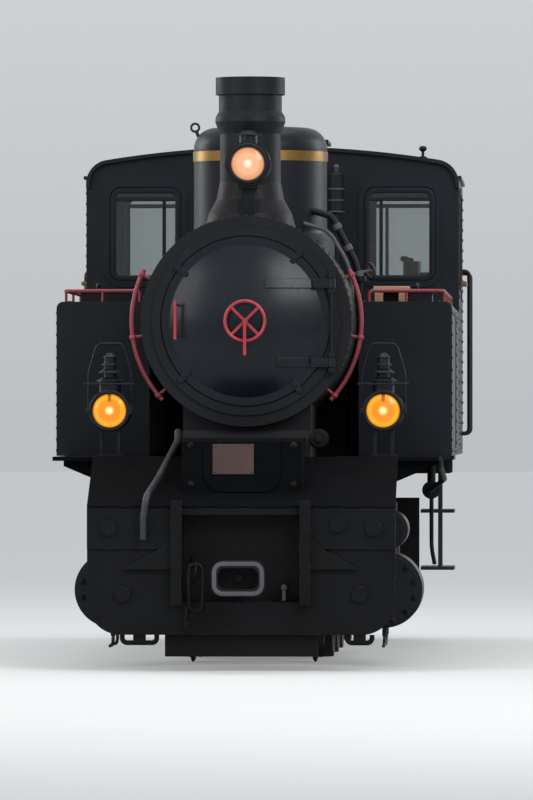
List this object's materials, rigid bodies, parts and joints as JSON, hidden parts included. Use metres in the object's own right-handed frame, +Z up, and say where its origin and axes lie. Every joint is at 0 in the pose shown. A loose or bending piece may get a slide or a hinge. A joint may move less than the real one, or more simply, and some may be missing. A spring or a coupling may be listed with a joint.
{
  "type": "narrow-gauge side-tank steam locomotive",
  "caption": "Black narrow-gauge side-tank steam locomotive with outside frames and cranks, domed smokebox door, drum-topped chimney, steam dome and hollow cab.",
  "frame": {"origin": "on the floor under the middle of the engine, at the lowest point of the wheel flanges", "axes": "the engine faces -Y, its left side is +X, +Z is up"},
  "size_m": [2.44, 8.1, 3.386],
  "materials": {
    "black_paint": "satin gloss black enamel",
    "grey_paint": "worn grey paint",
    "red_paint": "gloss red enamel",
    "brass": "polished, dulled",
    "bright_steel": "machined and oiled",
    "worn_steel": "worn bare steel",
    "cast_iron": "heat-blackened",
    "wood": "varnished",
    "glass": "clear"
  },
  "bodies": {
    "locomotive": {"air_pipe": "grey_paint", "ash_pan": "cast_iron", "backhead": "black_paint", "boiler": "black_paint", "boiler_fittings": "cast_iron", "brake_gear": "cast_iron", "bunker": "black_paint", "cab_floor": "black_paint", "cab_front": "black_paint", "cab_rear": "black_paint", "cab_roof": "black_paint", "cab_seats": "wood", "cab_side_left": "black_paint", "cab_side_right": "black_paint", "cab_steps": "black_paint", "cab_windows": "glass", "chimney": "cast_iron", "couplers": "worn_steel", "cylinders": "black_paint", "dome_band": "brass", "footplate": "black_paint", "front_apron": "black_paint", "front_beam": "black_paint", "front_lamps": "black_paint", "headlamp": "black_paint", "main_frame": "black_paint", "rear_beam": "black_paint", "rear_lamps": "black_paint", "saddle": "black_paint", "side_tank_left": "black_paint", "side_tank_right": "black_paint", "slide_bars_and_crossheads": "bright_steel", "smokebox": "black_paint", "smokebox_handrails": "red_paint", "springs_and_axle_boxes": "black_paint", "steam_dome": "black_paint", "tank_rails": "red_paint", "valve_gear": "bright_steel"},
    "driven_wheels": {"wheelset_driven": "black_paint"},
    "leading_wheels": {"wheelset_leading": "black_paint"},
    "middle_wheels": {"wheelset_middle": "black_paint"},
    "trailing_wheels": {"wheelset_trailing": "black_paint"},
    "smokebox_door": {"smokebox_door": "black_paint", "door_handwheel": "red_paint"},
    "coupling_rod_right": {"coupling_rod_right": "bright_steel"},
    "main_rod_right": {"main_rod_right": "bright_steel"},
    "eccentric_rod_right": {"eccentric_rod_right": "bright_steel"},
    "cab_door_right": {"cab_door_right": "black_paint"},
    "tank_lid_right": {"tank_lid_right": "black_paint"},
    "coupling_rod_left": {"coupling_rod_left": "bright_steel"},
    "main_rod_left": {"main_rod_left": "bright_steel"},
    "eccentric_rod_left": {"eccentric_rod_left": "bright_steel"},
    "cab_door_left": {"cab_door_left": "black_paint"},
    "tank_lid_left": {"tank_lid_left": "black_paint"}
  },
  "joints": [
    {"name": "driven_axle", "type": "hinge", "parent": "locomotive", "child": "driven_wheels", "pos_m": [0, 0.21, 0.438], "axis": [1, 0, 0], "continuous": true},
    {"name": "middle_axle", "type": "hinge", "parent": "locomotive", "child": "middle_wheels", "pos_m": [0, -0.74, 0.438], "axis": [1, 0, 0], "continuous": true},
    {"name": "leading_axle", "type": "hinge", "parent": "locomotive", "child": "leading_wheels", "pos_m": [0, -1.69, 0.438], "axis": [1, 0, 0], "continuous": true},
    {"name": "trailing_axle", "type": "hinge", "parent": "locomotive", "child": "trailing_wheels", "pos_m": [0, 2.11, 0.313], "axis": [1, 0, 0], "continuous": true},
    {"name": "coupling_rod_right_pin", "type": "hinge", "parent": "driven_wheels", "child": "coupling_rod_right", "pos_m": [-0.635, 0.35142, 0.29658], "axis": [1, 0, 0], "continuous": true},
    {"name": "main_rod_right_pin", "type": "hinge", "parent": "driven_wheels", "child": "main_rod_right", "pos_m": [-0.7, 0.35142, 0.29658], "axis": [1, 0, 0], "continuous": true},
    {"name": "eccentric_rod_right_pin", "type": "hinge", "parent": "driven_wheels", "child": "eccentric_rod_right", "pos_m": [-0.775, 0.27364, 0.50164], "axis": [1, 0, 0], "continuous": true},
    {"name": "coupling_rod_left_pin", "type": "hinge", "parent": "driven_wheels", "child": "coupling_rod_left", "pos_m": [0.635, 0.06858, 0.29658], "axis": [1, 0, 0], "continuous": true},
    {"name": "main_rod_left_pin", "type": "hinge", "parent": "driven_wheels", "child": "main_rod_left", "pos_m": [0.7, 0.06858, 0.29658], "axis": [1, 0, 0], "continuous": true},
    {"name": "eccentric_rod_left_pin", "type": "hinge", "parent": "driven_wheels", "child": "eccentric_rod_left", "pos_m": [0.775, 0.27364, 0.37436], "axis": [1, 0, 0], "continuous": true},
    {"name": "smokebox_door_hinge", "type": "hinge", "parent": "locomotive", "child": "smokebox_door", "pos_m": [0.49, -2.96, 1.973], "axis": [0, 0, 1], "range_deg": [0, 90]},
    {"name": "cab_door_right_hinge", "type": "hinge", "parent": "locomotive", "child": "cab_door_right", "pos_m": [-1.111, 2.724, 1.7], "axis": [0, 0, 1], "range_deg": [0, 90]},
    {"name": "cab_door_left_hinge", "type": "hinge", "parent": "locomotive", "child": "cab_door_left", "pos_m": [1.111, 2.724, 1.7], "axis": [0, 0, -1], "range_deg": [0, 90]},
    {"name": "tank_lid_right_hinge", "type": "hinge", "parent": "locomotive", "child": "tank_lid_right", "pos_m": [-0.7165, -1.19, 2.172], "axis": [0, 1, 0], "range_deg": [0, 100]},
    {"name": "tank_lid_left_hinge", "type": "hinge", "parent": "locomotive", "child": "tank_lid_left", "pos_m": [0.7165, -1.19, 2.172], "axis": [0, -1, 0], "range_deg": [0, 100]}
  ],
  "couplings": [
    {"joint": "middle_axle", "follows": "driven_axle", "ratio": 1},
    {"joint": "leading_axle", "follows": "driven_axle", "ratio": 1},
    {"joint": "coupling_rod_right_pin", "follows": "driven_axle", "ratio": -1},
    {"joint": "main_rod_right_pin", "follows": "driven_axle", "ratio": -1},
    {"joint": "eccentric_rod_right_pin", "follows": "driven_axle", "ratio": -1},
    {"joint": "coupling_rod_left_pin", "follows": "driven_axle", "ratio": -1},
    {"joint": "main_rod_left_pin", "follows": "driven_axle", "ratio": -1},
    {"joint": "eccentric_rod_left_pin", "follows": "driven_axle", "ratio": -1}
  ]
}
